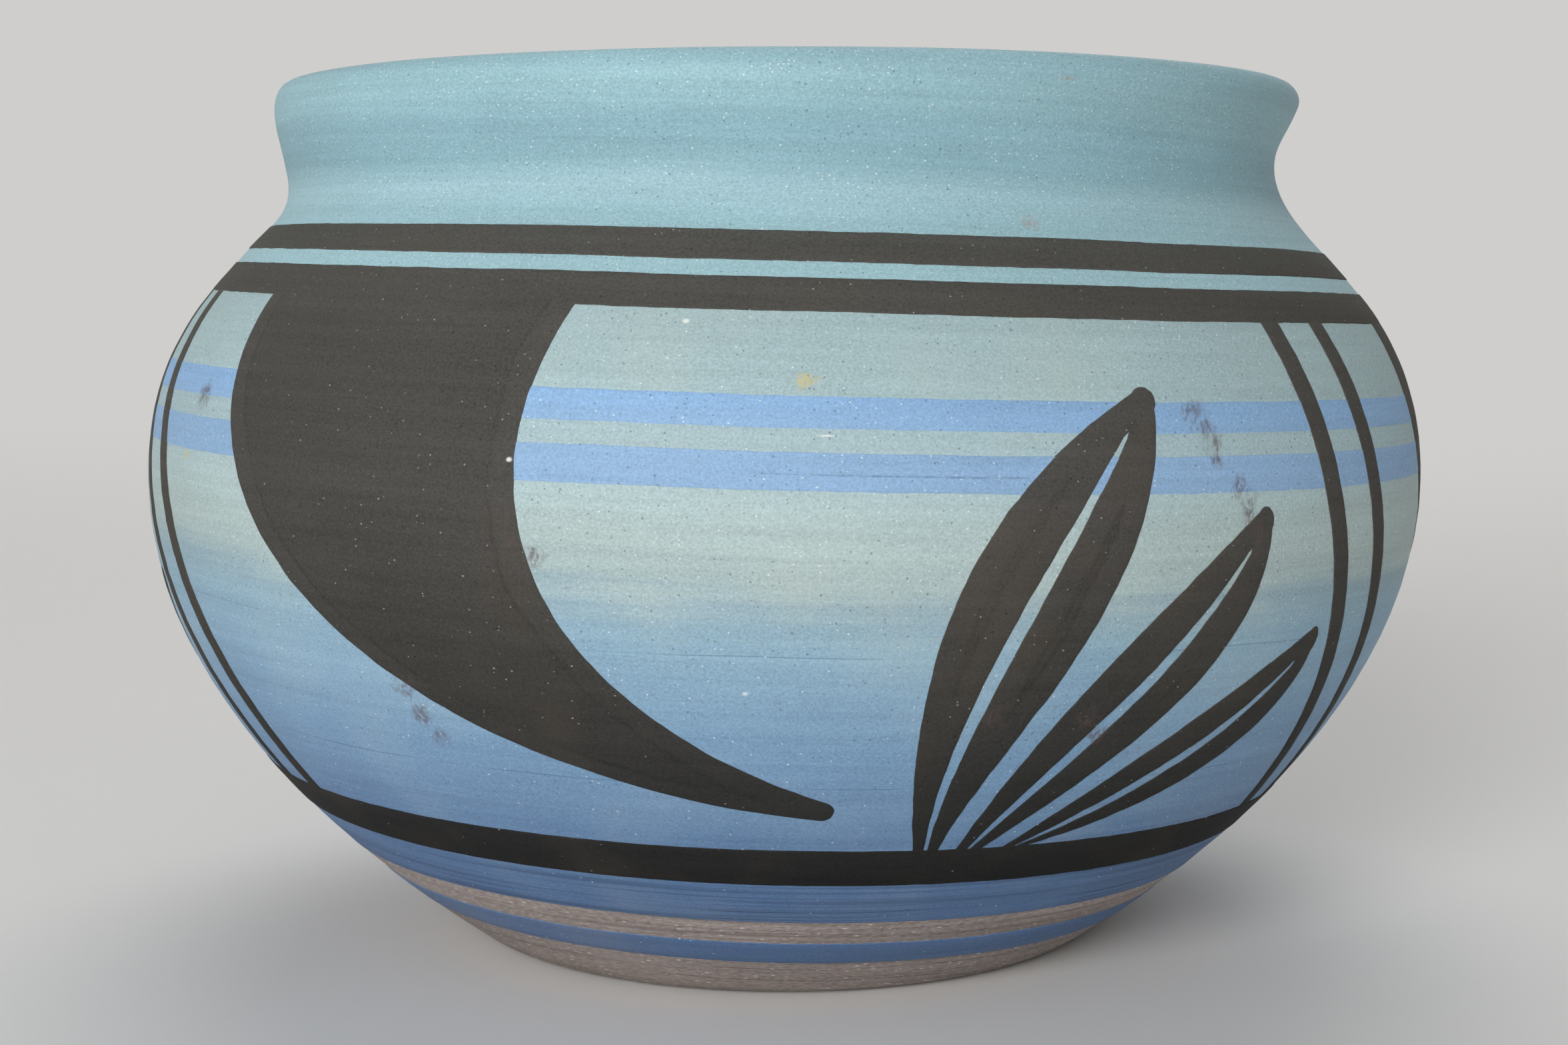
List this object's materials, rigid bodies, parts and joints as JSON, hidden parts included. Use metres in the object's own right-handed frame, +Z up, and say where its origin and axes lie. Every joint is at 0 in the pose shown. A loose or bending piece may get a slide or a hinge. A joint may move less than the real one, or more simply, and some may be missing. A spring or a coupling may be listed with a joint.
{
  "type": "painted vase",
  "caption": "Squat turned earthenware vase with a wide shoulder, short neck and rounded flared lip, in matte blue coats with dark bands and brush figures; holds flowers or small things.",
  "frame": {"origin": "middle of the flat foot, on the surface that the vase stands on", "axes": "+Z up along the turning axis, -Y towards the viewer of the picture, +X to the viewer's right"},
  "size_m": [0.1604, 0.16, 0.1062],
  "materials": {
    "bare_clay": "bare fired clay, matte, fine grain and turning lines",
    "neck_paint": "matte sky-blue slip with faint brush streaks",
    "panel_paint": "matte pale green-grey slip with faint brush streaks",
    "stripe_paint": "matte cornflower-blue slip",
    "blue_paint": "matte blue slip, deeper towards the foot",
    "foot_stripe_paint": "matte deep blue slip",
    "dark_paint": "matte brown-black slip, brushed"
  },
  "bodies": {
    "root": {"clay_body": "bare_clay", "neck_coat": "neck_paint", "upper_panel_coat": "panel_paint", "upper_stripe": "stripe_paint", "middle_panel_coat": "panel_paint", "lower_stripe": "stripe_paint", "lower_panel_coat": "panel_paint", "blue_coat": "blue_paint", "foot_stripe": "foot_stripe_paint", "upper_shoulder_band": "dark_paint", "lower_shoulder_band": "dark_paint", "base_band": "dark_paint", "wing_1": "dark_paint", "wing_2": "dark_paint", "wing_3": "dark_paint", "tall_feather_left_1": "dark_paint", "tall_feather_left_2": "dark_paint", "tall_feather_left_3": "dark_paint", "tall_feather_right_1": "dark_paint", "tall_feather_right_2": "dark_paint", "tall_feather_right_3": "dark_paint", "middle_feather_left_1": "dark_paint", "middle_feather_left_2": "dark_paint", "middle_feather_left_3": "dark_paint", "middle_feather_right_1": "dark_paint", "middle_feather_right_2": "dark_paint", "middle_feather_right_3": "dark_paint", "low_feather_left_1": "dark_paint", "low_feather_left_2": "dark_paint", "low_feather_left_3": "dark_paint", "low_feather_right_1": "dark_paint", "low_feather_right_2": "dark_paint", "low_feather_right_3": "dark_paint", "left_reed_1": "dark_paint", "left_reed_2": "dark_paint", "left_reed_3": "dark_paint", "right_reed_1": "dark_paint", "right_reed_2": "dark_paint", "right_reed_3": "dark_paint"}
  },
  "joints": []
}
